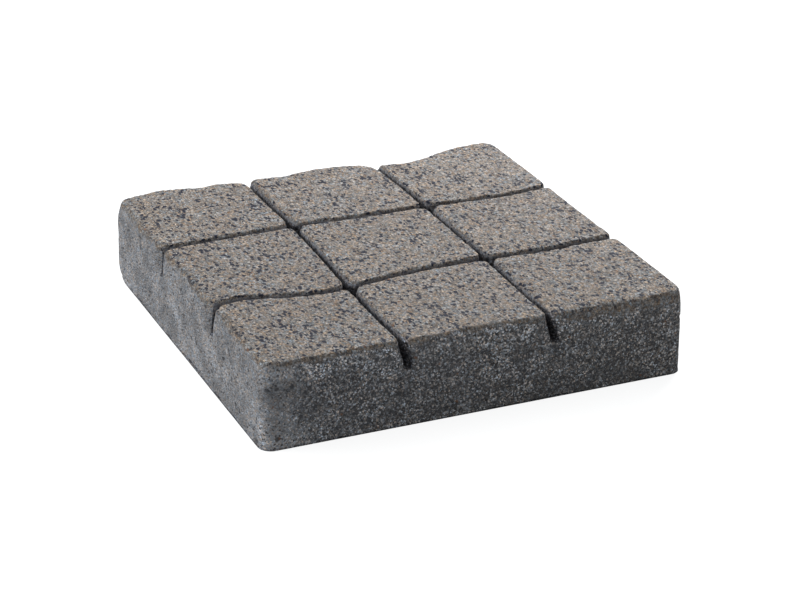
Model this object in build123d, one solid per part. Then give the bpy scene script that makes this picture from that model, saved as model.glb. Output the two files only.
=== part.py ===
from build123d import *
from collections import namedtuple
from math import atan, cos, degrees, pi, sin, sqrt
import os

# The slab, lying on its bed face with the patterned face up
LENGTH = 300.0
WIDTH = 300.0
HEIGHT = 60.0
SIDE_LEAN = 1.0
CORNER_RADIUS = 9.0

# The false joints that divide the face into setts
COLUMNS = 3
ROWS = 3
JOINT_DEPTH = 20.0
MOUTH_ALONG = 4.8
MOUTH_ACROSS = 6.4
JOINT_FLOOR = 3.6
ARRIS_HEIGHT = 3.4
ARRIS_ALONG = 3.4
ARRIS_ACROSS = 1.8
CROSSING_RADIUS = 6.5
EXIT_RADIUS = 5.0

# How far each joint strays from its straight line, at even steps along it
FRONT_JOINT = (-4, 1, -6, -9.5, -7.5, -4, -1, 0, 1, -1.5, -2, 0, 0)
BACK_JOINT = (-3, -1, 0.5, 1.5, -0.5, 0, -1.5, -3, 1.5)
LEFT_JOINT = (-4, -4.5, -3, -1, 0, -1, -0.5)
RIGHT_JOINT = (-0.5, -0.5, 1, 1, 1, 0, -2)

# How far the uneven rim of the face draws back from each side, at even steps along it
FRONT_RIM = (2, 1, 2.5, 1, 3, 1.5, 2.5, 1, 2)
BACK_RIM = (5, 3, 1, 4, 4.5, 8, 4, 5.5, 13, 16.5, 8, 1.2, 1)
LEFT_RIM = (2, 1, 2.5, 1.5, 2, 1.5, 1, 2, 1.5)
RIGHT_RIM = (1, 0.5, 1.5, 0.5, 1)

# The two families of lines round the setts. The arris is the width of the rounding from wall to face
Family = namedtuple("Family", "count span joints rims mouth arris")
ALONG = Family(COLUMNS, LENGTH, (LEFT_JOINT, RIGHT_JOINT), (LEFT_RIM, RIGHT_RIM), MOUTH_ALONG, ARRIS_ALONG)
ACROSS = Family(ROWS, WIDTH, (FRONT_JOINT, BACK_JOINT), (FRONT_RIM, BACK_RIM), MOUTH_ACROSS, ARRIS_ACROSS)

# At the floor of the joints the setts' outer walls stand outside the slab, and its flat sides cut them off
RIM_OVERHANG = 1.0
# The block is this much too high before the stamp cuts it, and the stamp this much wider than the block
CUT_ALLOWANCE = 15.0
# The setts start a little below the floor of the joints, as a share of the joints' depth
FOOT_RISE = -0.1
# Narrow bands that round an arris, from the upright wall to the flat of the face
ARRIS_BANDS = 3
# Points that carry the line of a sett's edge between its corners
EDGE_POINTS = 5
# Share of a sett's side over which the direction of its edge is read
DIRECTION_STEP = 0.01
# Passes that settle a point of a sett between its wavy edge lines
SETTLING_PASSES = 4

# Corners of a sett in turn, and the way along the edge that leads to each, anticlockwise from the front
CORNERS = ((1, 0), (1, 1), (0, 1), (0, 0))
WAYS = ((1, 0), (0, 1), (-1, 0), (0, -1))


def mix(low, high, share):
    """Value at a share of the way from low to high."""
    return low + (high - low) * share


def wave(steps, share):
    """Smooth cubic curve through even steps, read at a share of the way along them."""
    last = len(steps) - 1
    place = min(max(share, 0.0), 1.0) * last
    first = min(int(place), last - 1)
    t = place - first
    a, b, c, d = [steps[min(max(first + k, 0), last)] for k in (-1, 0, 1, 2)]
    return b + t / 2 * (c - a + t * (2 * a - 5 * b + 4 * c - d + t * (3 * (b - c) + d - a)))


def sett_edge(family, index, share, level, inward):
    """Place of one edge line of a sett: the wall of a joint, or the rim at a side of the slab.
    A level is a rise, 0 at the floor of the joints and 1 at the face, and the share of the arris's width
    by which the line stands back from the wall. Inward is 1 or -1."""
    rise, turned = level
    inset = family.arris * turned
    place = family.span * (index / family.count - 0.5)
    if 0 < index < family.count:
        half_joint = mix(JOINT_FLOOR, family.mouth, rise) / 2
        stray = wave(family.joints[(index - 1) % len(family.joints)], share)
        return place + stray + inward * (half_joint + inset)
    draw_back = SIDE_LEAN + wave(family.rims[index // family.count], share)
    return place + inward * (mix(-RIM_OVERHANG, draw_back, rise) + inset)


def sett_point(column, row, u, v, level):
    """Point at shares u and v of the way across a sett, between its four edge lines."""
    x = LENGTH * ((column + u) / COLUMNS - 0.5)
    y = WIDTH * ((row + v) / ROWS - 0.5)
    for _ in range(SETTLING_PASSES):
        up_slab = y / WIDTH + 0.5
        left = sett_edge(ALONG, column, up_slab, level, 1)
        right = sett_edge(ALONG, column + 1, up_slab, level, -1)
        over_slab = x / LENGTH + 0.5
        front = sett_edge(ACROSS, row, over_slab, level, 1)
        back = sett_edge(ACROSS, row + 1, over_slab, level, -1)
        x = mix(left, right, u)
        y = mix(front, back, v)
    return Vector(x, y, mix(HEIGHT - JOINT_DEPTH, HEIGHT, level[0]))


def plan_radius(column_line, row_line):
    """Radius of a sett's corner: at a corner of the slab, where a joint runs out, or at a crossing."""
    at_side = column_line in (0, COLUMNS)
    at_end = row_line in (0, ROWS)
    if at_side and at_end:
        return CORNER_RADIUS
    return EXIT_RADIUS if at_side or at_end else CROSSING_RADIUS


def rounded_corner(column, row, turn, turned):
    """Start, middle and end of a sett's quarter-round corner, as shares of the way across it."""
    u, v = CORNERS[turn]
    in_u, in_v = WAYS[turn]
    out_u, out_v = WAYS[(turn + 1) % 4]
    radius = plan_radius(column + u, row + v)
    radius_u = (radius - ARRIS_ALONG * turned) * COLUMNS / LENGTH
    radius_v = (radius - ARRIS_ACROSS * turned) * ROWS / WIDTH
    cut = 1 - sqrt(0.5)
    start = (u - in_u * radius_u, v - in_v * radius_v)
    middle = (u + (out_u - in_u) * cut * radius_u, v + (out_v - in_v) * cut * radius_v)
    end = (u + out_u * radius_u, v + out_v * radius_v)
    return start, middle, end


def sett_curve(column, row, level, shares, way_in, way_out):
    """Smooth curve through points of a sett, which starts and ends along the given ways."""
    points = [sett_point(column, row, u, v, level) for u, v in shares]
    tangents = []
    for (u, v), (way_u, way_v) in ((shares[0], way_in), (shares[-1], way_out)):
        step_u, step_v = DIRECTION_STEP * way_u, DIRECTION_STEP * way_v
        ahead = sett_point(column, row, u + step_u, v + step_v, level)
        behind = sett_point(column, row, u - step_u, v - step_v, level)
        tangents.append(ahead - behind)
    return Spline(*points, tangents=tangents)


def sett_outline(column, row, rise, turned):
    """Face inside the closed wavy line round a sett, a square with rounded corners, at one level."""
    level = (rise, turned)
    corners = [rounded_corner(column, row, turn, turned) for turn in range(4)]
    curves = []
    for turn, corner in enumerate(corners):
        way_in = WAYS[turn]
        way_out = WAYS[(turn + 1) % 4]
        curves.append(sett_curve(column, row, level, corner, way_in, way_out))
        (start_u, start_v), (end_u, end_v) = corner[-1], corners[(turn + 1) % 4][0]
        steps = [(1 - cos(pi * k / (EDGE_POINTS + 1))) / 2 for k in range(EDGE_POINTS + 2)]
        shares = [(mix(start_u, end_u, step), mix(start_v, end_v, step)) for step in steps]
        curves.append(sett_curve(column, row, level, shares, way_out, way_out))
    return Face(Wire(curves))


def sett_head(column, row):
    """One sett, wider at its foot, with its walls rounded over into the face by the arris."""
    outlines = [sett_outline(column, row, FOOT_RISE, 0)]
    for band in range(ARRIS_BANDS + 1):
        angle = pi / 2 * band / ARRIS_BANDS
        drop = ARRIS_HEIGHT * (1 - sin(angle))
        outlines.append(sett_outline(column, row, 1 - drop / JOINT_DEPTH, 1 - cos(angle)))
    return loft(outlines, ruled=True)


def press_stamp():
    """The stamp that forms the joints and the rim: a plate with the setts hollowed out of it."""
    floor = Plane.XY.offset(HEIGHT - JOINT_DEPTH)
    outline = floor * Rectangle(LENGTH + 2 * CUT_ALLOWANCE, WIDTH + 2 * CUT_ALLOWANCE)
    plate = extrude(outline, JOINT_DEPTH + 2 * CUT_ALLOWANCE)
    return plate - [sett_head(column, row) for column in range(COLUMNS) for row in range(ROWS)]


def paving_slab():
    """Cast block with leaning sides and rounded upright corners, with its face stamped into setts."""
    lean_angle = degrees(atan(SIDE_LEAN / HEIGHT))
    outline = RectangleRounded(LENGTH, WIDTH, CORNER_RADIUS)
    block = extrude(outline, HEIGHT + CUT_ALLOWANCE, taper=lean_angle)
    return block - press_stamp()


os.makedirs("parts", exist_ok=True)
export_step(paving_slab(), "parts/paving_slab.step")
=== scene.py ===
"""Concrete paving slab: one cast piece whose face is pressed into nine setts, on a pale studio floor."""

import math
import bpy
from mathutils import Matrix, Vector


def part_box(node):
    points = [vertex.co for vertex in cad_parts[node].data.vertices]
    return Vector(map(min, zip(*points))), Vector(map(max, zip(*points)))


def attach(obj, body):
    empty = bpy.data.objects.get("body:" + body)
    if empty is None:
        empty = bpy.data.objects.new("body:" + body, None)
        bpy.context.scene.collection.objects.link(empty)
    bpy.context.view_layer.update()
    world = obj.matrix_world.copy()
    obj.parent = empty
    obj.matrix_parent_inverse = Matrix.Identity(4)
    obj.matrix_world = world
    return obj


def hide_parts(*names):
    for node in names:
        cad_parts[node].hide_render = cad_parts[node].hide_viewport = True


bl_info = {
    "name": "Concrete Paving Slab",
    "version": (1, 0, 0),
    "blender": (4, 5, 0),
    "location": "3D View > Sidebar > Paving",
    "description": "Cast paving slab with wavy false joints and a granite-look face, in a soft studio",
    "category": "Add Mesh",
}

from collections import namedtuple

import bpy
import numpy as np
from bpy.props import FloatProperty, FloatVectorProperty, IntProperty, PointerProperty
from mathutils import Matrix, Vector

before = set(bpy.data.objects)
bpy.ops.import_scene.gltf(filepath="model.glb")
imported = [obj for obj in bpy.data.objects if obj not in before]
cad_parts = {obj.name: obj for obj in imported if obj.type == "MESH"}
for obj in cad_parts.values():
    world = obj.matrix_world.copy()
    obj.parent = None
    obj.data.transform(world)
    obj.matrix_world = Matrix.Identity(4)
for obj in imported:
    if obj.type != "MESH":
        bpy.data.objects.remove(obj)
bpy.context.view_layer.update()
SLAB_LOW, SLAB_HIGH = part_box("paving_slab")

MM = 0.001
# Least length to divide by, and the most that counts as none
TINY = 1e-12
# Moves the lattice of noise so that all its cells have numbers above 0
LATTICE_SHIFT = 1000.0
SETTS = 3

# How far each joint strays from its straight line, in millimetres at even steps along it
FRONT_JOINT = (-4, 1, -6, -9.5, -7.5, -4, -1, 0, 1, -1.5, -2, 0, 0)
BACK_JOINT = (-3, -1, 0.5, 1.5, -0.5, 0, -1.5, -3, 1.5)
LEFT_JOINT = (-4, -4.5, -3, -1, 0, -1, -0.5)
RIGHT_JOINT = (-0.5, -0.5, 1, 1, 1, 0, -2)

# How far the rim of the face draws back from each side, in millimetres at even steps along it
FRONT_RIM = (2, 1, 2.5, 1, 3, 1.5, 2.5, 1, 2)
BACK_RIM = (5, 5, 2, 0.8, 3, 6, 4.5, 6.5, 6, 6.3, 8, 6.1, 4,
            4, 5.5, 9.1, 13, 15.7, 16.5, 12.9, 8, 4.1, 1.2, 0.7, 1)
LEFT_RIM = (2, 1, 2.5, 1.5, 2, 1.5, 1, 2, 1.5)
RIGHT_RIM = (1, 0.5, 1.5, 0.5, 1)

# The lines across a family of setts, in order: rim, joint, joint, rim
LINES_ALONG = (LEFT_RIM, LEFT_JOINT, RIGHT_JOINT, RIGHT_RIM)
LINES_ACROSS = (FRONT_RIM, FRONT_JOINT, BACK_JOINT, BACK_RIM)

# Profile from a joint or rim into a sett: shares of half the floor and the lift there, shares of the depth up
# the wall, degrees over the arris, and millimetres along the flat
FLOOR_SHARES = (1.0, 0.5, 0.12)
FLOOR_LIFTS = (0.0, 0.0, 0.015)
WALL_SHARES = (0.93, 0.82, 0.71, 0.6, 0.49, 0.39, 0.3, 0.23)
ARRIS_ANGLES = (0, 22, 43, 65, 90)
FLAT_RUNS = (1.5, 3.5, 6.0, 8.5)
INNER_SAMPLES = 42
# Samples are numbered in rings from the middle of a joint. A rim starts at the foot of its wall
RIM_RING = 2
LAST_RING = 19
# How far the first rings of a joint take part in the rounding of corners
RING_STRENGTHS = (0.0, 0.5, 0.85, 1.0)
# Painted shade in the joints, with some darker colour of their own, follows these shares
# Rings of a joint, how far inside it each counts, and how much more a crossing does
PAINTED_SHADE_RINGS = (2, 8, 10, 11, 12, 13, 15)
PAINTED_SHADE_ALONG = (1.0, 1.0, 0.9, 0.6, 0.3, 0.06, 0.0)
PAINTED_SHADE_ACROSS = (1.0, 0.8, 0.58, 0.42, 0.25, 0.08, 0.0)
CROSSING_EXTRA = 0.6
# Passes that settle where the two families of wavy lines cross
SETTLING_PASSES = 6

# Millimetres: a rim's foot outside the slab's side, the softness of the change between them, a corner's least
# radius, and the height in which the sides ease to the plain outline
RIM_OVERHANG = 1.0
RIM_SOFTNESS = 0.6
LEAST_RADIUS = 0.2
SIDE_EASE = 5
# Share of its rounding that a run-out loses at the floor of the joint
RUN_OUT_LOSS = 0.2
# Levels of the rings down the sides in millimetres, and the rings across the bed as shares of its outline
SIDE_LEVELS = (*range(39, 6, -2), 5.2, 3.6, 2.2, 1.1, 0.4, 0)
BED_RINGS = (0.985, 0.95, 0.85, 0.65, 0.4, 0.15)

# Layers of chance unevenness: step of the seed, share of the depth, and size of the lumps in millimetres
SWELL = ((0, 0.6, 34), (1, 0.4, 13))
GRIT = ((2, 0.5, 5), (3, 0.5, 2.8))
CRUMBS = ((4, 0.5, 5), (5, 0.5, 2.3))
PITS = ((6, 1.0, 3.6),)
CHIPS = ((8, 0.5, 11), (9, 0.3, 4), (10, 0.5, 28))
# Millimetres above the bed or below the face between which each kind of relief sets in
BED_ZONE = (0, 2)
FACE_ZONE = (4, 1)
ARRIS_ZONE = (7, 2.5)
CHIP_ZONE = (3.5, 0)
# Upward part of the normal between which a point counts as the face
FACE_SLOPE = (0.75, 0.98)
# Arrises are sounder within these millimetres of the right-hand side, and where they face right
SOUND_ZONE, SOUND_SHARE = (9, 4), 0.8
SOUND_SLOPE, SOUND_SLOPE_SHARE = (0.1, 0.5), 0.7
# The noise of crumbs is raised and stretched, that of pits is cut, and that of chips is raised
CRUMB_BIAS, CRUMB_GAIN = 0.1, 1.4
PIT_RANGE = (0.35, 0.8)
CHIP_BIAS = 0.2

# Worn front edge: millimetres along X where it sets in and where it loses a share of its radius
WEAR_START = (34, 54)
WEAR_END, WEAR_LOSS = (90, 140), 0.6
# Slanted run-outs: shares of the joint's depth where the lean grows and fades, and millimetres from the front
# and from the joint's line within which it fades
SLANT_GROWTH, SLANT_FADE = (0.1, 1.0), (1.1, 2.0)
SLANT_REACH, SLANT_WIDTH = (3, 13), (5, 14)
# Worn foot of the back left corner: its height and its reach from the corner, in millimetres
FOOT_HEIGHT, FOOT_REACH = 12, (0, 26)
# Dark line of painted contact shadow at the foot of the sides: its height in millimetres, least sideways normal
# and shade
FOOT_SHADOW_LINE, FOOT_SHADOW_SLOPE, FOOT_PAINTED_SHADOW = 0.5, 0.3, 1.3

# Cells of grain: drawn out along Y by less scale, with walls that stray by noise, in millimetres
GRAIN_DRAW = (1.0, 0.68, 1.0)
STRAY, STRAY_SIZE = 1.3, 1.6
# Sizes of the finer and the dark grains as shares of the common ones, and of the crumbs in millimetres
SAND_SIZE, DARK_SIZE = 0.6, 1.2
CRUMB_SIZE = 1.05
# Slow patterns of noise: size in millimetres, detail and roughness
PATCH_NOISE, CROWD_NOISE, BLOTCH_NOISE = (26, 3.0), (10, 2.0), (16, 4.0, 0.6)
RAGGED_NOISE, TORN_NOISE, BUMP_NOISE = (11, 4.0), (2.2, 2.0), (2.0, 3.0, 0.6)
# Specks and large pores: size in millimetres, share of their cells, reach in a cell
SPECKS = (4.2, 0.035, 0.22)
LARGE_PORES = (5.2, 0.10, 0.30)
SPOT_SOFTNESS = 0.08

# Tones of the face mix by the chance of a grain: the chance, the colour and its factor
FACE_TONES = ((0.00, "tan", 0.6), (0.07, "tan", 1), (0.28, "sand", 0.88), (0.52, "sand", 1),
              (0.76, "pale", 1), (0.94, "pale", 1.35))
# Spans of the face mix: a value from and to, and what it becomes there. The gap spans are painted shade between
# grains
PATCH_SHARE = (0.36, 0.62, 0.24, 0.0)
SAND_GAP_SHADE = (0.30, 0.68, 1.15, 0.6)
GRAIN_GAP_SHADE = (0.35, 0.72, 1.1, 0.75)
CROWD_SHARE = (0.40, 0.63, 0.03, 0.38)
DARK_EDGE = (0.64, 0.58)
SMALL_DARK_SHARE = 0.045
FACE_SPECK_SHARE, BODY_SPECK_SHARE = 0.7, 0.6
# Millimetres from a side between which the dark grains thin out towards it, and the shares there
RIM_THINNING = (1.5, 5, 0.3, 1.0)

# Tones of the grey concrete by the chance of its crumbs: dense, and with more contrast at the front, which is
# partly rougher concrete and partly painted shade in its pits
DENSE_TONES = ((0.00, 0.83), (0.10, 1.15), (0.40, 1.32), (0.75, 1.49), (0.93, 1.92))
FRONT_CONTRAST_TONES = ((0.00, 0.15), (0.18, 0.45), (0.40, 0.9), (0.64, 1.25), (0.80, 2.2), (0.95, 3.5))
HUE_SHARE = 0.6
BLOTCH_SHARE, BLOTCH_TONE = (0.34, 0.66, 0.6, 0.0), 0.45
# Painted shade in the gaps between crumbs, on most sides and at the front
CRUMB_GAP_SHADE, DENSE_GAP_SHADE, FRONT_GAP_SHADE = (0.30, 0.68, 1.15), 0.88, 0.7
# Share of crumbs that are pores, dense and at the front, and how far they take their painted shade
DENSE_PORES, FRONT_PORES, PORE_SHARE = 0.06, 0.15, 0.85
# Millimetres from the front or left between which a side's own concrete sets in, or its contrast grows
FRONT_BAND = (14, 5)
FRONT_CONTRAST_PART = (2, 42, 0.05, 1.0)
LEFT_BAND = (12, 6)
# Painted light and shade: millimetres from the left, the front or the bed, or round the corner, and tones there
FOOT_PAINTED_LIGHT = (25, 100, 1.42, 0.88)
FRONT_FOOT, FRONT_TOP = (4, 28), (36, 50, 1.0, 1.24)
LEFT_LENGTH, LEFT_TOP = (5, 110, 0.92, 1.0), (27, 48, 0.98, 0.85)
CORNER_PAINTED_LIGHT = (9, 5.5, 1.0, 1.2)
LEFT_PAINTED_LIGHT, RIGHT_PAINTED_SHADE = 1.09, 0.92
RIGHT_TINT = (1.0, 0.985, 0.955, 1.0)
# The lower edge of the face mix, in millimetres: how ragged and how soft it is, and how much lower it hangs
# over the front, between these distances from the left
RAGGED_RANGE, RAGGED, SKIN_SOFTNESS = (0.25, 0.75), 2.4, 1.1
LAP_REACH, LAP = (170, 230), (-1.4, 3.5)

# Joints, whose insides take painted shade along with some darker colour of their own: tint of the walls and
# where it sets in, fading of the shade towards the left and the front, torn edge of the shade, its tones by the
# chance of crumbs, and where it turns black
WALL_PAINTED_SHADE, WALL_SPAN = (0.65, 0.65, 0.68, 1.0), (0.04, 0.42)
SHADE_LEFT, SHADE_FRONT = (3, 20, 0.32, 1.0), (1, 9, 0.45, 1.0)
TORN_SPAN = (0.3, 0.7, -2.6, 2.6)
SHADE_TONES = (0.6, 1.5)
BLACK_SPAN = (0.98, 1.35, 0.0, 0.85)
PAINTED_BLACK = (0.0, 0.0, 0.0, 1.0)

# Bumps of the surface: share of noise, rounding of grains and crumbs, depth of pores, strength and millimetres
BUMP_SHARE, BUMP_GRAINS, BUMP_CRUMBS, BUMP_PORES = 0.7, (0.1, 0.7, 0.6, 0.0), (0.1, 0.7, 0.5, 0.0), 0.8
BUMP_STRENGTH, BUMP_DEPTH = 0.9, 0.8
ROUGHNESS, DARK_ROUGHNESS, SPECULAR = 0.95, 0.78, 0.25

# A family of lines, the span it divides, the mouth of its joints, what the relief takes off the walls of each
# joint, and the samples across it
Family = namedtuple("Family", "lines span mouth relief table")
# Where a point of the slab lies, as sockets: plain and strayed place, distances from the left, front and bed
Place = namedtuple("Place", "plain grain left front level")
# A soft light: where it is, what it faces, its side and its colour
Lamp = namedtuple("Lamp", "place aim size colour")
KEY = Lamp((0.55, 0.49, 0.52), (0.05, 0.05, 0.05), 0.5, (0.99, 0.99, 1.0))
FILL = Lamp((-2.15, 1.15, 2.05), (0.0, 0.0, 0.03), 2.0, (0.95, 0.98, 1.0))
SKY_TINT = (0.93, 0.97, 1.0, 1)
WHITE = (1, 1, 1, 1)
# The floor as it is seen: a glow just short of white, and a grey that takes the shadow
FLOOR_GLOW, FLOOR_GREY = 0.86, (0.30, 0.30, 0.30, 1)
FILM_WIDTH = 36.0


def number(name, description, default, **kind):
    """Property that holds a number, with a unit or subtype where one fits."""
    return FloatProperty(name=name, description=description, default=default, **kind)


def metres(name, description, default):
    """Property that holds a length in metres."""
    return number(name, description, default, unit="LENGTH")


def paint(name, description, default):
    """Property that holds a colour and its alpha."""
    return FloatVectorProperty(name=name, description=description, default=default, size=4, subtype="COLOR")


class PavingShape(bpy.types.PropertyGroup):
    """Sizes of the slab, its joints and its relief."""

    joint_depth: metres("Joint depth", "Depth of the false joints", 0.020)
    mouth_along: metres("Mouth along", "Width at the face of the joints along Y", 0.0048)
    mouth_across: metres("Mouth across", "Width at the face of the joints along X", 0.0064)
    joint_floor: metres("Joint floor", "Width of a joint at its floor", 0.0036)
    arris_height: metres("Arris height", "Height of the rounding from wall to face", 0.0034)
    arris_along: metres("Arris along", "Width of the rounding on lines along Y", 0.0034)
    arris_right: metres("Arris right", "Width of the rounding at the setts' right-hand edges", 0.0016)
    arris_across: metres("Arris across", "Width of the rounding on lines along X", 0.0018)
    corner: metres("Corner", "Radius of the slab's upright corners", 0.009)
    crossing: metres("Crossing", "Radius of the setts' corners where joints cross", 0.0065)
    run_out: metres("Run-out", "Radius of the setts' corners where joints run out", 0.005)
    worn_run_out: metres("Worn run-out", "Radius of the more worn corners where joints run out", 0.011)
    lean: metres("Side lean", "How far the sides lean in from bed to face", 0.001)
    swell: metres("Swell", "Depth of the broad unevenness of the face", 0.0006)
    grit: metres("Grit", "Depth of the fine unevenness of all surfaces", 0.0004)
    crumble: metres("Crumble", "Depth of the crumbled places on the arrises", 0.0020)
    pit: metres("Pit", "Depth of the pits in the sides", 0.0012)
    chip: metres("Chip", "Depth of the chips along the bed edge", 0.0022)
    relief_along: metres("Relief along", "What the relief takes off the joints along Y", 0.0005)
    relief_front: metres("Relief front", "What the relief takes off the front joint", 0.0009)
    relief_back: metres("Relief back", "What the relief takes off the back joint", 0.0012)
    wear: metres("Wear", "Radius of the worn front edge at the right", 0.0075)
    foot_wear: metres("Foot wear", "How far the foot of the back left corner draws in", 0.0032)
    slant: metres("Slant", "How far the run-outs at the front lean over at their foot", 0.0034)
    seed: IntProperty(name="Seed", description="Choice of the chance unevenness", default=7)


class PavingFinish(bpy.types.PropertyGroup):
    """Colours and grain of the face mix and of the grey concrete, with the painted shade of joints and pores.
    """

    sand: paint("Sand", "Beige grains, the most of the face", (0.386, 0.366, 0.348, 1))
    tan: paint("Tan", "Browner grains of the face", (0.278, 0.238, 0.210, 1))
    patch: paint("Patch", "Browner patches of the face", (0.335, 0.266, 0.210, 1))
    pale: paint("Pale", "Light grey grains of the face", (0.470, 0.464, 0.458, 1))
    dark: paint("Dark", "Blue-black grains of the face", (0.009, 0.011, 0.023, 1))
    rust: paint("Rust", "Few rusty specks", (0.230, 0.105, 0.045, 1))
    cement: paint("Cement", "Grey concrete of sides, joints and bed", (0.312, 0.310, 0.320, 1))
    # Pores painted dark for the shade inside them
    pore_shade: paint("Pore", "Pits and pores of the grey concrete", (0.075, 0.076, 0.082, 1))
    warm: paint("Warm", "Tint of the warmest grains", (1.0, 0.735, 0.50, 1))
    even: paint("Even", "Tint of the grains between warm and cool", (0.88, 0.87, 0.86, 1))
    cool: paint("Cool", "Tint of the coolest grains", (0.68, 0.84, 1.0, 1))
    # Painted shade of the joints' insides, with some darker colour of their own
    painted_hollow_shade: paint("Hollow", "How dark the inside of the joints is", (0.20, 0.20, 0.22, 1))
    grain: metres("Grain", "Size of the common grains", 0.0019)
    skin: metres("Face mix", "How far the face mix reaches down over the arris", 0.0045)


class PavingStudio(bpy.types.PropertyGroup):
    """Camera, floor and lights."""

    azimuth: number("Azimuth", "Way the camera looks, 0 along +Y", math.radians(-24.07), subtype="ANGLE")
    elevation: number("Elevation", "Camera's height above the horizon", math.radians(24.65), subtype="ANGLE")
    roll: number("Roll", "Turn of the camera about its own axis", math.radians(0.75), subtype="ANGLE")
    distance: metres("Distance", "From the aim to the camera", 1.702)
    aim: FloatVectorProperty(name="Aim", description="Point in the middle of the picture",
                             default=(0.0214, 0.0273, 0.0), size=3, subtype="XYZ")
    lens: number("Lens", "Focal length in millimetres on a 36 mm film", 107.9, unit="CAMERA")
    floor_size: metres("Floor size", "Side of the floor", 24.0)
    floor_tone: paint("Floor", "Colour of the floor that lights the slab", (0.30, 0.30, 0.31, 1))
    key_power: number("Key", "Power of the soft light above and behind", 7.4, unit="POWER")
    fill_power: number("Fill", "Power of the wide light at the left", 67.0, unit="POWER")
    sky: number("Sky", "Strength of the even light all round", 0.41)


def mix(low, high, share):
    """Value at a share of the way from low to high."""
    return low + (high - low) * share


def ease(low, high, value):
    """Smooth step: 0 at low, 1 at high and past them, a cubic between."""
    t = np.clip((value - low) / (high - low), 0, 1)
    return t * t * (3 - 2 * t)


def zone(value, limits):
    """Smooth step of a length in metres, 0 at the first and 1 at the second limit in millimetres."""
    return ease(limits[0] * MM, limits[1] * MM, value)


def wave(steps, share):
    """Cubic through even steps, in millimetres, whose slope at each step is that of the chord between its
    neighbours, read at all shares at once."""
    heights = np.asarray(steps, float) * MM
    last = len(heights) - 1
    place = np.clip(share, 0, 1) * last
    first = np.minimum(place.astype(int), last - 1)
    t = place - first
    a, b, c, d = (heights[np.clip(first + k, 0, last)] for k in (-1, 0, 1, 2))
    return b + t / 2 * (c - a + t * (2 * a - 5 * b + 4 * c - d + t * (3 * (b - c) + d - a)))


def lattice(cells, seed):
    """Chance value from 0 to 1 for each whole-number cell, by mixing the bits of its three numbers."""
    h = cells[..., 0] * 374761393 + cells[..., 1] * 668265263 + cells[..., 2] * 1440662683 + seed * 362437
    h = h.astype(np.uint32)
    h = (h ^ (h >> np.uint32(15))) * np.uint32(2246822519)
    h = (h ^ (h >> np.uint32(13))) * np.uint32(3266489917)
    return (h ^ (h >> np.uint32(16))) / 4294967295.0


def noise(points, size, seed):
    """Smooth noise from -1 to 1: chance values on a cubic lattice of the given size, mixed by the eased
    place within each cell."""
    spread = points / size + LATTICE_SHIFT
    cells = np.floor(spread).astype(np.int64)
    t = spread - cells
    t = t * t * (3 - 2 * t)
    total = 0
    for corner in np.ndindex(2, 2, 2):
        weight = np.prod(np.where(corner, t, 1 - t), axis=-1)
        total = total + weight * lattice(cells + np.array(corner), seed)
    return total * 2 - 1


def layered(points, layers, seed):
    """Sum of noises, each with its own step of the seed, share and size."""
    return sum(share * noise(points, size * MM, seed + step) for step, share, size in layers)


def profile(shape, arris, is_joint):
    """Samples from a line into a sett, as the run past the wall and the depth below the face.
    A joint starts at the middle of its floor, a rim at the foot of its wall. Then both climb the wall,
    turn over the arris on a quarter ellipse and go on along the flat."""
    depth = shape.joint_depth
    runs = [-share * shape.joint_floor / 2 for share in FLOOR_SHARES] if is_joint else [0.0]
    depths = [depth * (1 - lift) for lift in FLOOR_LIFTS] if is_joint else [depth]
    runs += [0.0] * len(WALL_SHARES)
    depths += [depth * share for share in WALL_SHARES]
    angles = np.radians(ARRIS_ANGLES)
    runs += list(arris * (1 - np.cos(angles)))
    depths += list(shape.arris_height * (1 - np.sin(angles)))
    runs += [arris + run * MM for run in FLAT_RUNS]
    depths += [0.0] * len(FLAT_RUNS)
    return np.array(runs), np.array(depths)


def sample_table(shape, low_arris, high_arris):
    """Samples across a family of three setts, each sett with one arris at its low edge and one at its high
    edge: which sett, the share between its two lines, run and depth, if the near line is a joint, whether the
    sett lies after (1) or before (-1) it, the sample's ring counted from the middle of a joint, and the place
    and ring of the profile's first sample."""
    rows = []
    for sett in range(SETTS):
        low_joint = sett > 0
        high_joint = sett < SETTS - 1
        first = 0 if low_joint else RIM_RING
        start = len(rows)
        runs, depths = profile(shape, low_arris, low_joint)
        for ring, (run, depth) in enumerate(zip(runs, depths), first):
            rows.append((sett, 0.0, run, depth, low_joint, 1, ring, start, first))
        for k in range(1, INNER_SAMPLES + 1):
            share = k / (INNER_SAMPLES + 1)
            rows.append((sett, share, runs[-1], 0.0, low_joint, 1, LAST_RING, start, first))
        runs, depths = profile(shape, high_arris, high_joint)
        first = 1 if high_joint else RIM_RING
        skipped = 1 if high_joint else 0
        start = len(rows) + len(runs) - skipped - 1
        far = list(enumerate(zip(runs, depths), first - skipped))[skipped:]
        for ring, (run, depth) in far[::-1]:
            rows.append((sett, 1.0, run, depth, high_joint, -1, ring, start, first))
    names = ("sett", "share", "run", "depth", "joint", "inward", "ring", "start", "first")
    return {name: np.array(column) for name, column in zip(names, zip(*rows))}


def line_families(shape, length, width):
    """The lines along Y and the lines along X, each with its span, joint mouth, relief and samples."""
    along = Family(LINES_ALONG, length, shape.mouth_along, (shape.relief_along, shape.relief_along),
                   sample_table(shape, shape.arris_along, shape.arris_right))
    across = Family(LINES_ACROSS, width, shape.mouth_across, (shape.relief_front, shape.relief_back),
                    sample_table(shape, shape.arris_across, shape.arris_across))
    return along, across


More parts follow.
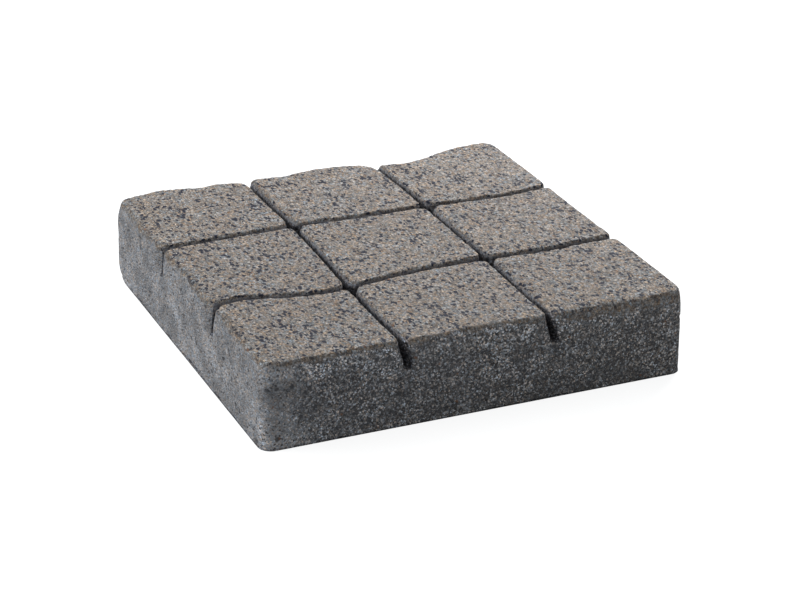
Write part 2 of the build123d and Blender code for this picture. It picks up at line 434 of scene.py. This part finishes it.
def edge_distance(shape, family, index, run, depth, share, height):
    """Distance of a profile sample from its line. In a joint it is half the width at that depth, which grows
    evenly from floor to mouth, less what the relief will take off on average. At a rim it is the larger, with
    a soft change, of the side's own lean and a wall that leans back from the foot to the rim's draw-back."""
    rise = 1 - depth / shape.joint_depth
    if 0 < index < SETTS:
        return mix(shape.joint_floor, family.mouth, rise) / 2 - family.relief[index - 1] * rise + run
    draw_back = shape.lean + wave(family.lines[index], share)
    wall = mix(-RIM_OVERHANG * MM, draw_back, rise)
    side = shape.lean * (1 - depth / height)
    soft = RIM_SOFTNESS * MM
    return (wall + side + np.sqrt((wall - side) ** 2 + soft**2) - soft) / 2 + run


def family_places(shape, family, share, height):
    """Place of each sample of a family, where the other family's share of the way is known. A sett's samples
    lie between its two lines, each line being its straight place plus its own wave."""
    places = np.zeros_like(share)
    table = family.table
    for sett in range(SETTS):
        chosen = table["sett"] == sett
        along = share[:, chosen]
        run, depth = table["run"][chosen], table["depth"][chosen]
        ends = []
        for index, inward in ((sett, 1), (sett + 1, -1)):
            line = family.span * (index / SETTS - 0.5)
            if 0 < index < SETTS:
                line = line + wave(family.lines[index], along)
            ends.append(line + inward * edge_distance(shape, family, index, run, depth, along, height))
        places[:, chosen] = mix(ends[0], ends[1], table["share"][chosen])
    return places


def round_corners(shape, along, across, x, y, depth):
    """Turns the square ring of samples that passes through each point, near a sett's corner, into a quarter
    ellipse. With the ring's corner cut back by its radii as the centre, a point at the distances A and B from
    it, as shares of the radii, goes to (A, B) over their length. The radii shrink along the flat, and are
    larger behind the joints that run out at the left and on the left of those that run out at the back. The
    turn fades to nothing at the middle of a joint, and in part towards the floor where a joint runs out."""
    places = np.arange(len(x))
    ring = np.minimum(along["ring"][None, :], across["ring"][:, None])

    def ring_line(table, axis):
        first, start, inward, joint = (np.expand_dims(table[name], axis)
                                       for name in ("first", "start", "inward", "joint"))
        return start + inward * (np.maximum(ring, first) - first), inward, joint

    column, inward_x, joint_x = ring_line(along, 0)
    row, inward_y, joint_y = ring_line(across, 1)
    radius = np.where(joint_x | joint_y, shape.run_out, shape.corner)
    radius = np.where(joint_x & joint_y, shape.crossing, radius)
    worn_left = ~joint_x & joint_y & (inward_x > 0) & (inward_y > 0)
    worn_back = joint_x & ~joint_y & (inward_x < 0) & (inward_y < 0)
    radius = np.where(worn_left | worn_back, shape.worn_run_out, radius)
    radius_x = np.maximum(radius - np.maximum(along["run"][column], 0), LEAST_RADIUS * MM)
    radius_y = np.maximum(radius - np.maximum(across["run"][row], 0), LEAST_RADIUS * MM)
    a = 1 - inward_x * (x - x[places[:, None], column]) / radius_x
    b = 1 - inward_y * (y - y[row, places[None, :]]) / radius_y
    strengths = np.interp(ring, range(len(RING_STRENGTHS)), RING_STRENGTHS)
    strength = np.where(joint_x | joint_y, strengths, 1)
    loss = RUN_OUT_LOSS * (depth / shape.joint_depth) ** 2
    strength = strength * np.where(joint_x ^ joint_y, 1 - loss, 1)
    pull = np.where((a > 0) & (b > 0), 1 - 1 / np.maximum(np.hypot(a, b), 1), 0) * strength
    return x + inward_x * a * pull * radius_x, y + inward_y * b * pull * radius_y


def face_grid(shape, length, width, height):
    """Patterned face as one grid of points. Samples across and along are two families of wavy lines whose
    crossings are found by reading each from the other a few times. The depth is the greater of both."""
    along, across = line_families(shape, length, width)
    count = len(along.table["sett"])
    x = np.tile(np.linspace(-length / 2, length / 2, count), (count, 1))
    y = np.tile(np.linspace(-width / 2, width / 2, count)[:, None], (1, count))
    for _ in range(SETTLING_PASSES):
        x = family_places(shape, along, y / width + 0.5, height)
        y = family_places(shape, across, x.T / length + 0.5, height).T
    depth = np.maximum(along.table["depth"][None, :], across.table["depth"][:, None])
    x, y = round_corners(shape, along.table, across.table, x, y, depth)
    return np.stack((x, y, height - depth), axis=-1)


def painted_joint_shade_share(shape):
    """How far each point of the face's grid lies inside a joint, which sets how much painted shade it takes: 1
    on its floor, fading up the walls and over the arris. It is the greater of the shares of its two families,
    and more where both cross."""
    table = sample_table(shape, shape.arris_along, shape.arris_right)
    along, across = (np.where(table["joint"], np.interp(table["ring"], PAINTED_SHADE_RINGS, shares), 0)
                     for shares in (PAINTED_SHADE_ALONG, PAINTED_SHADE_ACROSS))
    along, across = along[None, :], across[:, None]
    return (np.maximum(along, across) + CROSSING_EXTRA * (along * across) ** 2).ravel()


def boundary(count):
    """Indices round the edge of a square grid, anticlockwise from its first corner."""
    index = np.arange(count * count).reshape(count, count)
    return np.concatenate((index[0, :], index[1:, -1], index[-1, -2::-1], index[-2:0:-1, 0]))


def on_outline(shape, ring, levels, length, width, height):
    """Nearest places to a ring of points on the slab's own outline at each level: a rectangle with quarter-
    round corners, drawn in by the lean as it rises. Past both straight sides a point goes out from the
    corner's centre to its radius, and elsewhere it goes straight out to the nearer side."""
    lean = (shape.lean * levels / height)[:, None]
    radius = shape.corner - lean
    past_x = np.abs(ring[:, 0])[None] - (length / 2 - shape.corner)
    past_y = np.abs(ring[:, 1])[None] - (width / 2 - shape.corner)
    reach = radius / np.maximum(np.hypot(past_x, past_y), TINY)
    in_corner = (past_x > 0) & (past_y > 0)
    out_x = np.where(in_corner, past_x * reach, np.where(past_x > past_y, radius, past_x))
    out_y = np.where(in_corner, past_y * reach, np.where(past_x > past_y, past_y, radius))
    x = np.sign(ring[:, 0])[None] * (length / 2 - shape.corner + out_x)
    y = np.sign(ring[:, 1])[None] * (width / 2 - shape.corner + out_y)
    return np.stack((x, y, np.broadcast_to(levels[:, None], x.shape)), axis=-1)


def slab_surface(shape, length, width, height):
    """Points and faces of the whole slab: the face's grid, rings down the sides, rings across the bed
    and a fan at its middle. Below the joints the rings ease from the face's edge, which dips where joints run
    out, to the slab's plain outline."""
    grid = face_grid(shape, length, width, height)
    count = len(grid)
    points = [grid.reshape(-1, 3)]
    index = np.arange(count * count).reshape(count, count)
    quads = [np.stack((index[:-1, :-1], index[:-1, 1:], index[1:, 1:], index[1:, :-1]), -1).reshape(-1, 4)]
    edge = boundary(count)
    ring = points[0][edge]
    levels = np.array(SIDE_LEVELS) * MM
    plain = on_outline(shape, ring, levels, length, width, height)
    sides = mix(ring[None], plain, zone(ring[0, 2] - levels, (0, SIDE_EASE))[:, None, None])
    sides[..., 2] = levels[:, None]
    bed = sides[-1][None] * np.array(BED_RINGS)[:, None, None]
    rings = np.concatenate((sides, bed))
    points += [rings.reshape(-1, 3), np.zeros((1, 3))]
    numbers = count * count + np.arange(len(rings) * len(edge)).reshape(len(rings), len(edge))
    numbers = np.concatenate((edge[None], numbers))
    upper, lower = numbers[:-1], numbers[1:]
    quads.append(np.stack((upper, lower, np.roll(lower, -1, 1), np.roll(upper, -1, 1)), -1).reshape(-1, 4))
    last = numbers[-1]
    middle = np.full_like(last, numbers[-1, -1] + 1)
    fan = np.stack((last, middle, np.roll(last, -1)), -1)
    return np.concatenate(points), np.concatenate(quads), fan


def point_normals(points, quads):
    """Unit normal at each point: the sum of the crossed diagonals of the faces round it."""
    corners = points[quads]
    crossed = np.cross(corners[:, 2] - corners[:, 0], corners[:, 3] - corners[:, 1])
    normals = np.zeros_like(points)
    for k in range(4):
        np.add.at(normals, quads[:, k], crossed)
    return normals / np.maximum(np.linalg.norm(normals, axis=1, keepdims=True), TINY)


def relief(shape, points, normals, length, height):
    """How far each point goes in along its normal: broad swell on the face, grit all over, crumbled places on
    the arrises where the normal slants, fewer of them at the right, and pits on the sides. All fade at the
    bed."""
    x, z = points[:, 0], points[:, 2]
    up = np.clip(normals[:, 2], 0, 1)
    face = ease(*FACE_SLOPE, up) * zone(height - z, FACE_ZONE)
    arris = 4 * up * (1 - up) * zone(height - z, ARRIS_ZONE)
    arris = arris * (1 - SOUND_SHARE * zone(length / 2 - x, SOUND_ZONE))
    arris = arris * (1 - SOUND_SLOPE_SHARE * ease(*SOUND_SLOPE, normals[:, 0]))
    swell = layered(points, SWELL, shape.seed)
    grit = layered(points, GRIT, shape.seed)
    crumbs = layered(points, CRUMBS, shape.seed)
    pits = ease(*PIT_RANGE, layered(points, PITS, shape.seed))
    depth = shape.swell * face * (0.5 + 0.5 * swell)
    depth = depth + shape.grit * (0.5 + 0.5 * grit)
    depth = depth + shape.crumble * arris * np.clip(CRUMB_BIAS + CRUMB_GAIN * crumbs, 0, 1)
    depth = depth + shape.pit * (1 - up) * pits
    return depth * zone(z, BED_ZONE)


def worn_edge(shape, points, width, height):
    """Rounds the front edge over at the right-hand sett: points outside the quarter circle that touches the
    face and the front go back onto it. Its radius grows past the joint and shrinks towards the far corner."""
    x, y, z = points.T
    radius = shape.wear * zone(x, WEAR_START) * (1 - WEAR_LOSS * zone(x, WEAR_END))
    ahead = radius - (y + width / 2)
    above = radius - (height - z)
    reach = np.hypot(ahead, above)
    outside = (ahead > 0) & (above > 0) & (reach > radius)
    pull = np.where(outside, 1 - radius / np.maximum(reach, TINY), 0)
    return np.stack((x, y + ahead * pull, z - above * pull), axis=-1)


def slanted_exits(shape, points, length, width, height):
    """Leans the run-outs of the two joints at the front over to the right: points near a joint's line and
    near the front go across by an amount that grows from the face to the floor and fades below it."""
    x, y, z = points.T
    below = (height - z) / shape.joint_depth
    shift = shape.slant * ease(*SLANT_GROWTH, below) * (1 - ease(*SLANT_FADE, below))
    shift = shift * (1 - zone(y + width / 2, SLANT_REACH))
    moved = x.copy()
    for index in range(1, SETTS):
        line = length * (index / SETTS - 0.5) + LINES_ALONG[index][0] * MM
        moved += shift * (1 - zone(np.abs(x - line), SLANT_WIDTH))
    return np.stack((moved, y, z), axis=-1)


def worn_foot(shape, points, length, width):
    """Draws the foot of the back left corner in towards the slab's middle: most at the bed, by the square of
    the way down the last millimetres, and less with the distance from the corner."""
    x, y, z = points.T
    from_corner = np.hypot(x + length / 2, y - width / 2)
    down = np.clip(1 - z / (FOOT_HEIGHT * MM), 0, 1)
    shift = shape.foot_wear * down**2 * (1 - zone(from_corner, FOOT_REACH)) * math.sqrt(0.5)
    return np.stack((x + shift, y - shift, z), axis=-1)


def bed_chips(shape, points, normals):
    """How far points near the bed edge go in: chance chips that fade within a few millimetres upwards."""
    amount = layered(points, CHIPS, shape.seed)
    sideways = np.clip(np.hypot(normals[:, 0], normals[:, 1]), 0, 1)
    return shape.chip * zone(points[:, 2], CHIP_ZONE) * sideways * np.clip(CHIP_BIAS + amount, 0, 1)


def linked(name, data):
    """Object that holds data, linked into the scene."""
    holder = bpy.data.objects.new(name, data)
    bpy.context.scene.collection.objects.link(holder)
    return holder


def mesh_object(name, points, faces):
    """Smooth-shaded mesh object at the origin from whole arrays of points and faces."""
    mesh = bpy.data.meshes.new(name)
    mesh.from_pydata(points.tolist(), [], [face for block in faces for face in block.tolist()])
    mesh.polygons.foreach_set("use_smooth", np.ones(len(mesh.polygons), bool))
    mesh.update()
    return linked(name, mesh)


class NodeBench:
    """Adds nodes to a material or world in one line each: settings by name, inputs by name or number."""

    def __init__(self, owner):
        owner.use_nodes = True
        self.tree = owner.node_tree
        self.tree.nodes.clear()

    def add(self, kind, inputs=None, **settings):
        """Node of a kind, with its inputs linked to sockets or set to values."""
        node = self.tree.nodes.new(kind)
        for name, value in settings.items():
            setattr(node, name, value)
        for key, value in (inputs or {}).items():
            if isinstance(value, bpy.types.NodeSocket):
                self.tree.links.new(value, node.inputs[key])
            else:
                node.inputs[key].default_value = value
        return node

    def math(self, operation, a, b=0.0, clamp=False):
        """Sum, product or the like of two values."""
        return self.add("ShaderNodeMath", {0: a, 1: b}, operation=operation, use_clamp=clamp).outputs[0]

    def times(self, product, *others):
        """Product of two or more values, from the left."""
        for other in others:
            product = self.math("MULTIPLY", product, other)
        return product

    def vector(self, operation, a, b):
        """Sum, product or the like of two vectors."""
        return self.add("ShaderNodeVectorMath", {0: a, 1: b}, operation=operation).outputs[0]

    def span(self, value, low, high, to_low=0.0, to_high=1.0):
        """Smooth step from one value to another as the first goes from low to high."""
        inputs = {"Value": value, "From Min": low, "From Max": high, "To Min": to_low, "To Max": to_high}
        return self.add("ShaderNodeMapRange", inputs, interpolation_type="SMOOTHSTEP").outputs[0]

    def reach(self, distance, low, high, to_low=0.0, to_high=1.0):
        """Smooth step over a distance whose limits are millimetres."""
        return self.span(distance, low * MM, high * MM, to_low, to_high)

    def blend(self, share, a, b, kind="MIX"):
        """Colour a changed by colour b to a share."""
        return self.add("ShaderNodeMix", {0: share, 6: a, 7: b}, data_type="RGBA", blend_type=kind).outputs[2]

    def noise(self, place, size, detail, rough=0.5):
        """Noise whose lumps have a size in millimetres."""
        inputs = {"Vector": place, "Scale": 1 / (size * MM), "Detail": detail, "Roughness": rough}
        return self.add("ShaderNodeTexNoise", inputs).outputs["Fac"]

    def cells(self, place, size):
        """Cells of a size in metres: the distance from a cell's middle, and three chances of the cell."""
        node = self.add("ShaderNodeTexVoronoi", {"Vector": place, "Scale": 1 / size})
        chance = self.add("ShaderNodeSeparateColor", {0: node.outputs["Color"]})
        return node.outputs["Distance"], *chance.outputs

    def ramp(self, value, stops, interpolation="LINEAR"):
        """Colour read from stops of place and colour."""
        node = self.add("ShaderNodeValToRGB", {0: value})
        node.color_ramp.interpolation = interpolation
        elements = node.color_ramp.elements
        while len(elements) < len(stops):
            elements.new(0.5)
        for element, (place, colour) in zip(elements, stops):
            element.position = place
            element.color = colour
        return node.outputs[0]


def scaled(colour, factor):
    """Colour made darker or lighter by a factor."""
    return (*(channel * factor for channel in colour[:3]), 1.0)


def spots(bench, place, size, share, reach):
    """Mask of roundish grains: cells of a size in millimetres whose chance is below a share, out to a reach."""
    distance, chance, _, _ = bench.cells(place, size * MM)
    chosen = bench.math("LESS_THAN", chance, share)
    inside = bench.span(distance, reach + SPOT_SOFTNESS, reach - SPOT_SOFTNESS)
    return bench.times(chosen, inside)


def slab_place(bench, length, width):
    """Where a point lies: its plain place, the same drawn out and strayed by noise so that cells of grain have
    uneven walls, and its distances from the left side, the front and the bed."""
    plain = bench.add("ShaderNodeTexCoord").outputs["Object"]
    stray = bench.add("ShaderNodeTexNoise", {"Vector": plain, "Scale": 1 / (STRAY_SIZE * MM), "Detail": 1.0})
    centred = bench.vector("SUBTRACT", stray.outputs["Color"], (0.5, 0.5, 0.5))
    shift = bench.vector("MULTIPLY", centred, (STRAY * MM,) * 3)
    grain = bench.vector("ADD", bench.vector("MULTIPLY", plain, GRAIN_DRAW), shift)
    x, y, level = bench.add("ShaderNodeSeparateXYZ", {0: plain}).outputs
    return Place(plain, grain, bench.math("ADD", x, length / 2), bench.math("ADD", y, width / 2), level)


def grain_tints(finish):
    """Stops of tint from warm to cool."""
    return (0.0, tuple(finish.warm)), (0.5, tuple(finish.even)), (1.0, tuple(finish.cool))


def face_mix(bench, finish, place, specks):
    """Washed face mix: cells of common and of finer grains, each with a chance tone and tint and painted shade
    in the gaps between them, mixed half and half, with slow browner patches. Blue-black grains crowd together
    in places and thin out at the left and the front, and a few specks are rusty. Returns the colour, the
    distance from the middle of the common grains and the share of dark grains."""
    tones = [(chance, scaled(getattr(finish, name), factor)) for chance, name, factor in FACE_TONES]
    tints = grain_tints(finish)
    grain_gap, *grain_chances = bench.cells(place.grain, finish.grain)
    sand_gap, *sand_chances = bench.cells(place.grain, SAND_SIZE * finish.grain)
    dark_gap, _, dark_kind, _ = bench.cells(place.grain, DARK_SIZE * finish.grain)
    grains, sand = (
        bench.blend(1.0, bench.ramp(chance, tones, "CONSTANT"), bench.ramp(hue, tints), "MULTIPLY")
        for chance, _, hue in (grain_chances, sand_chances))
    common = bench.blend(0.5, grains, sand)
    patches = bench.span(bench.noise(place.plain, *PATCH_NOISE), *PATCH_SHARE)
    common = bench.blend(patches, common, tuple(finish.patch))
    # Painted shade in the gaps between grains
    gaps = bench.times(bench.span(sand_gap, *SAND_GAP_SHADE), bench.span(grain_gap, *GRAIN_GAP_SHADE))
    common = bench.blend(1.0, common, gaps, "MULTIPLY")
    crowd = bench.span(bench.noise(place.plain, *CROWD_NOISE), *CROWD_SHARE)
    large = bench.times(bench.math("LESS_THAN", dark_kind, crowd), bench.span(dark_gap, *DARK_EDGE))
    small = bench.math("LESS_THAN", sand_chances[1], SMALL_DARK_SHARE)
    thinning = (bench.reach(distance, *RIM_THINNING) for distance in (place.left, place.front))
    dark_share = bench.times(bench.math("MAXIMUM", large, small), *thinning)
    face = bench.blend(dark_share, common, tuple(finish.dark))
    face = bench.blend(bench.times(specks, FACE_SPECK_SHARE), face, tuple(finish.rust))
    return face, grain_gap, dark_share


def painted_side_light(bench, place, front_side, length):
    """Painted light and shade over the sides, to be multiplied: from left to right, up the front with a foot
    that is paler at the left, along and up the left side, and round the front left corner."""
    foot = bench.reach(place.left, *FOOT_PAINTED_LIGHT)
    front = bench.times(bench.reach(place.level, *FRONT_FOOT, foot, 1.0), bench.reach(place.level, *FRONT_TOP))
    left = bench.times(bench.reach(place.front, *LEFT_LENGTH), bench.reach(place.level, *LEFT_TOP))
    left_side = bench.reach(place.left, *LEFT_BAND)
    return (
        bench.span(place.left, 0.0, length, LEFT_PAINTED_LIGHT, RIGHT_PAINTED_SHADE),
        bench.span(front_side, 0.0, 1.0, 1.0, front),
        bench.span(left_side, 0.0, 1.0, 1.0, left),
        bench.reach(bench.math("ADD", place.left, place.front), *CORNER_PAINTED_LIGHT))


def grey_concrete(bench, finish, place, specks, front_side, length):
    """Grey concrete: cells of crumbs with chance tone and tint and painted shade in the gaps between them,
    dense on most sides and with more contrast at the front, partly rougher and partly painted shade in its
    pits, with slow dark blotches, painted light and shade over the sides, pores painted dark for their shade
    and a few rusty specks.
    Returns the colour, the distance from the middle of a crumb, the crumb's chance and the mask of pores."""
    # Front's stronger contrast: partly rougher concrete, partly painted shade in its pits
    front_contrast = bench.times(front_side, bench.reach(place.left, *FRONT_CONTRAST_PART))
    crumb_gap, crumb_chance, crumb_kind, crumb_hue = bench.cells(place.grain, CRUMB_SIZE * MM)
    dense, front_tones = (
        bench.ramp(crumb_chance, [(chance, scaled(finish.cement, tone)) for chance, tone in tones])
        for tones in (DENSE_TONES, FRONT_CONTRAST_TONES))
    body = bench.blend(front_contrast, dense, front_tones)
    body = bench.blend(HUE_SHARE, body, bench.ramp(crumb_hue, grain_tints(finish)), "MULTIPLY")
    blotches = bench.span(bench.noise(place.plain, *BLOTCH_NOISE), *BLOTCH_SHARE)
    body = bench.blend(blotches, body, scaled(finish.cement, BLOTCH_TONE))
    # Painted shade in the gaps between crumbs
    tone = bench.span(crumb_gap, *CRUMB_GAP_SHADE, bench.span(front_contrast, 0.0, 1.0, DENSE_GAP_SHADE, FRONT_GAP_SHADE))
    # Painted light and shade over the sides
    tone = bench.times(tone, *painted_side_light(bench, place, front_side, length))
    body = bench.blend(1.0, body, tone, "MULTIPLY")
    body = bench.blend(bench.span(place.left, 0.0, length), body, RIGHT_TINT, "MULTIPLY")
    pores = bench.math("LESS_THAN", crumb_kind, bench.span(front_contrast, 0.0, 1.0, DENSE_PORES, FRONT_PORES))
    pores = bench.math("MAXIMUM", pores, spots(bench, place.grain, *LARGE_PORES))
    # Pores painted dark for the shade inside them
    body = bench.blend(bench.times(pores, PORE_SHARE), body, tuple(finish.pore_shade))
    body = bench.blend(bench.times(specks, BODY_SPECK_SHARE), body, tuple(finish.rust))
    return body, crumb_gap, crumb_chance, pores


def face_share(bench, finish, place, front_side, height):
    """1 on the face mix and 0 on the grey concrete: a ragged line below the face parts them, which hangs lower
    over the front towards the right."""
    ragged = bench.span(bench.noise(place.plain, *RAGGED_NOISE), *RAGGED_RANGE, -RAGGED * MM, RAGGED * MM)
    hang = bench.reach(place.left, *LAP_REACH, *(lap * MM for lap in LAP))
    lower = bench.math("ADD", ragged, bench.times(front_side, hang))
    level = bench.math("ADD", place.level, lower)
    edge = height - finish.skin
    return bench.span(level, edge - SKIN_SOFTNESS * MM, edge + SKIN_SOFTNESS * MM)


def paint_joint_shade(bench, finish, place, colour, body, crumb_chance):
    """Colour with painted shade in the joints, along with some darker colour of their own: their walls take a
    darker grey, and their insides a shade by the square of how far inside a point is, less at the left and the
    front, torn by noise at its edge. It turns black where joints cross and, as a painted contact shadow, along
    the foot of the sides."""
    inside = bench.add("ShaderNodeAttribute", attribute_name="joint").outputs["Fac"]
    wall = bench.blend(1.0, body, WALL_PAINTED_SHADE, "MULTIPLY")
    colour = bench.blend(bench.span(inside, *WALL_SPAN), colour, wall)
    shade = bench.math("POWER", bench.math("MINIMUM", inside, 1.0), 2.0)
    shade = bench.times(shade, bench.reach(place.left, *SHADE_LEFT), bench.reach(place.front, *SHADE_FRONT))
    edge = bench.times(shade, bench.math("SUBTRACT", 1.0, shade))
    torn = bench.span(bench.noise(place.plain, *TORN_NOISE), *TORN_SPAN)
    shade = bench.math("ADD", shade, bench.times(edge, torn), True)
    deep_shade = bench.blend(crumb_chance, *(scaled(finish.painted_hollow_shade, tone) for tone in SHADE_TONES))
    colour = bench.blend(shade, colour, deep_shade, "MULTIPLY")
    return bench.blend(bench.span(inside, *BLACK_SPAN), colour, PAINTED_BLACK)


def surface_bumps(bench, place, grain_gap, crumb_gap, pores, share):
    """Normal of the fine relief: noise, rounded grains and crumbs, and pores sunk into the grey concrete."""
    bumps = bench.times(bench.noise(place.plain, *BUMP_NOISE), BUMP_SHARE)
    bumps = bench.math("ADD", bumps, bench.span(grain_gap, *BUMP_GRAINS))
    bumps = bench.math("ADD", bumps, bench.span(crumb_gap, *BUMP_CRUMBS))
    sunk = bench.times(pores, bench.span(share, 0.0, 1.0, BUMP_PORES, 0.0))
    bumps = bench.math("SUBTRACT", bumps, sunk)
    inputs = {"Strength": BUMP_STRENGTH, "Distance": BUMP_DEPTH * MM, "Height": bumps}
    return bench.add("ShaderNodeBump", inputs).outputs[0]


def concrete_material(finish, length, width, height):
    """Washed face mix over grey, pored concrete, with painted shade in the joints, in the pores and in the gaps
    between grains, painted light and shade over the sides, and a fine relief.
    """
    material = bpy.data.materials.new("concrete")
    bench = NodeBench(material)
    place = slab_place(bench, length, width)
    specks = spots(bench, place.grain, *SPECKS)
    front_side = bench.reach(place.front, *FRONT_BAND)
    face, grain_gap, dark_share = face_mix(bench, finish, place, specks)
    body, crumb_gap, crumb_chance, pores = grey_concrete(bench, finish, place, specks, front_side, length)
    share = face_share(bench, finish, place, front_side, height)
    colour = paint_joint_shade(bench, finish, place, bench.blend(share, body, face), body, crumb_chance)
    normal = surface_bumps(bench, place, grain_gap, crumb_gap, pores, share)
    rough = bench.span(dark_share, 0.0, 1.0, ROUGHNESS, DARK_ROUGHNESS)
    inputs = {"Base Color": colour, "Roughness": rough, "Normal": normal, "Specular IOR Level": SPECULAR}
    shader = bench.add("ShaderNodeBsdfPrincipled", inputs)
    bench.add("ShaderNodeOutputMaterial", {"Surface": shader.outputs[0]})
    return material


def join_shown(bench, lit, seen, output):
    """Ends a tree with one shader for the rays that show the ground, which come straight from the camera,
    mirrored or through glass, and another for those that only light the slab."""
    path = bench.add("ShaderNodeLightPath").outputs
    shown = bench.math("MAXIMUM", path["Is Camera Ray"], path["Is Glossy Ray"])
    shown = bench.math("MAXIMUM", shown, path["Is Transmission Ray"])
    joined = bench.add("ShaderNodeMixShader", {0: shown, 1: lit.outputs[0], 2: seen.outputs[0]})
    bench.add(output, {"Surface": joined.outputs[0]})


def floor_material(tone):
    """Pale floor: white with a soft shadow where it is seen, a plain mid tone where it lights the slab."""
    material = bpy.data.materials.new("studio_floor")
    bench = NodeBench(material)
    glow = bench.add("ShaderNodeEmission", {"Color": WHITE, "Strength": FLOOR_GLOW})
    grey = bench.add("ShaderNodeBsdfDiffuse", {"Color": FLOOR_GREY})
    seen = bench.add("ShaderNodeAddShader", {0: glow.outputs[0], 1: grey.outputs[0]})
    lit = bench.add("ShaderNodeBsdfDiffuse", {"Color": tuple(tone)})
    join_shown(bench, lit, seen, "ShaderNodeOutputMaterial")
    return material


def studio_world(strength):
    """White all round where it is seen, and a low even light on everything else."""
    world = bpy.data.worlds.new("studio")
    bench = NodeBench(world)
    even = bench.add("ShaderNodeBackground", {"Color": SKY_TINT, "Strength": strength})
    white = bench.add("ShaderNodeBackground", {"Color": WHITE, "Strength": 1.0})
    join_shown(bench, even, white, "ShaderNodeOutputWorld")
    bpy.context.scene.world = world


def soft_light(name, lamp, power):
    """Square area light that faces its aim and isn't seen itself."""
    light = bpy.data.lights.new(name, "AREA")
    light.size = lamp.size
    light.energy = power
    light.color = lamp.colour
    stand = linked(name, light)
    stand.location = lamp.place
    stand.rotation_euler = (Vector(lamp.aim) - Vector(lamp.place)).to_track_quat("-Z", "Y").to_euler()
    stand.visible_camera = False


def studio_camera(studio):
    """Camera at a distance from its aim, turned by azimuth and elevation, with a small roll."""
    data = bpy.data.cameras.new("camera")
    data.lens = studio.lens
    data.sensor_width = FILM_WIDTH
    data.sensor_fit = "HORIZONTAL"
    camera = linked("camera", data)
    level = math.cos(studio.elevation)
    back = Vector((math.sin(studio.azimuth) * level, -math.cos(studio.azimuth) * level,
                   math.sin(studio.elevation)))
    turn = (-back).to_track_quat("-Z", "Y").to_matrix().to_4x4()
    spin = Matrix.Rotation(studio.roll, 4, "Z")
    camera.matrix_world = Matrix.Translation(Vector(studio.aim) + back * studio.distance) @ turn @ spin
    bpy.context.scene.camera = camera


class PAVING_OT_build_slab(bpy.types.Operator):
    """Build the cast slab with its setts, joints, sides and bed"""

    bl_idname = "paving.build_slab"
    bl_label = "Build Slab"

    def execute(self, context):
        shape = context.scene.paving_shape
        length, width, height = SLAB_HIGH - SLAB_LOW
        points, quads, fan = slab_surface(shape, length, width, height)
        points = worn_edge(shape, points, width, height)
        points = slanted_exits(shape, points, length, width, height)
        points = worn_foot(shape, points, length, width)
        normals = point_normals(points, quads)
        inward = relief(shape, points, normals, length, height) + bed_chips(shape, points, normals)
        on_bed = points[:, 2] < TINY
        points = points - normals * inward[:, None]
        points[on_bed, 2] = 0
        points = np.clip(points, np.array(SLAB_LOW), np.array(SLAB_HIGH))
        piece = mesh_object("slab", points, (quads, fan))
        inside = np.zeros(len(points))
        # Painted shade of the joints, by how far inside each point lies
        joints = painted_joint_shade_share(shape)
        inside[:joints.size] = joints
        sideways = np.hypot(normals[:, 0], normals[:, 1])
        # Painted contact shadow: a dark line along the foot of the sides
        inside[(points[:, 2] < FOOT_SHADOW_LINE * MM) & (sideways > FOOT_SHADOW_SLOPE)] = FOOT_PAINTED_SHADOW
        piece.data.attributes.new("joint", "FLOAT", "POINT").data.foreach_set("value", inside)
        piece.data.materials.append(concrete_material(context.scene.paving_finish, length, width, height))
        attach(piece, "root")
        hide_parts("paving_slab")
        return {"FINISHED"}


class PAVING_OT_build_stage(bpy.types.Operator):
    """Build the floor, the lights and the camera"""

    bl_idname = "paving.build_stage"
    bl_label = "Build Stage"

    def execute(self, context):
        studio = context.scene.paving_studio
        corners = studio.floor_size / 2 * np.array(((-1, -1, 0), (1, -1, 0), (1, 1, 0), (-1, 1, 0)))
        floor = mesh_object("floor", corners, (np.array([[0, 1, 2, 3]]),))
        floor.data.materials.append(floor_material(studio.floor_tone))
        studio_world(studio.sky)
        soft_light("key", KEY, studio.key_power)
        soft_light("fill", FILL, studio.fill_power)
        studio_camera(studio)
        context.scene.view_settings.view_transform = "Standard"
        return {"FINISHED"}


class PAVING_PT_panel(bpy.types.Panel):
    """Lists the sizes, the finish and the studio, with the operators that build them"""

    bl_label = "Concrete Paving Slab"
    bl_idname = "PAVING_PT_panel"
    bl_space_type = "VIEW_3D"
    bl_region_type = "UI"
    bl_category = "Paving"

    def draw(self, context):
        for settings, operator in (("paving_shape", "paving.build_slab"), ("paving_finish", None),
                                   ("paving_studio", "paving.build_stage")):
            group = getattr(context.scene, settings)
            column = self.layout.column()
            for name in group.__annotations__:
                column.prop(group, name)
            if operator:
                column.operator(operator)


CLASSES = (PavingShape, PavingFinish, PavingStudio,
           PAVING_OT_build_slab, PAVING_OT_build_stage, PAVING_PT_panel)


def register():
    for cls in CLASSES:
        bpy.utils.register_class(cls)
    bpy.types.Scene.paving_shape = PointerProperty(type=PavingShape)
    bpy.types.Scene.paving_finish = PointerProperty(type=PavingFinish)
    bpy.types.Scene.paving_studio = PointerProperty(type=PavingStudio)


def unregister():
    del bpy.types.Scene.paving_studio
    del bpy.types.Scene.paving_finish
    del bpy.types.Scene.paving_shape
    for cls in reversed(CLASSES):
        bpy.utils.unregister_class(cls)


def main():
    register()
    bpy.ops.paving.build_slab()
    bpy.ops.paving.build_stage()


if __name__ == "__main__":
    main()
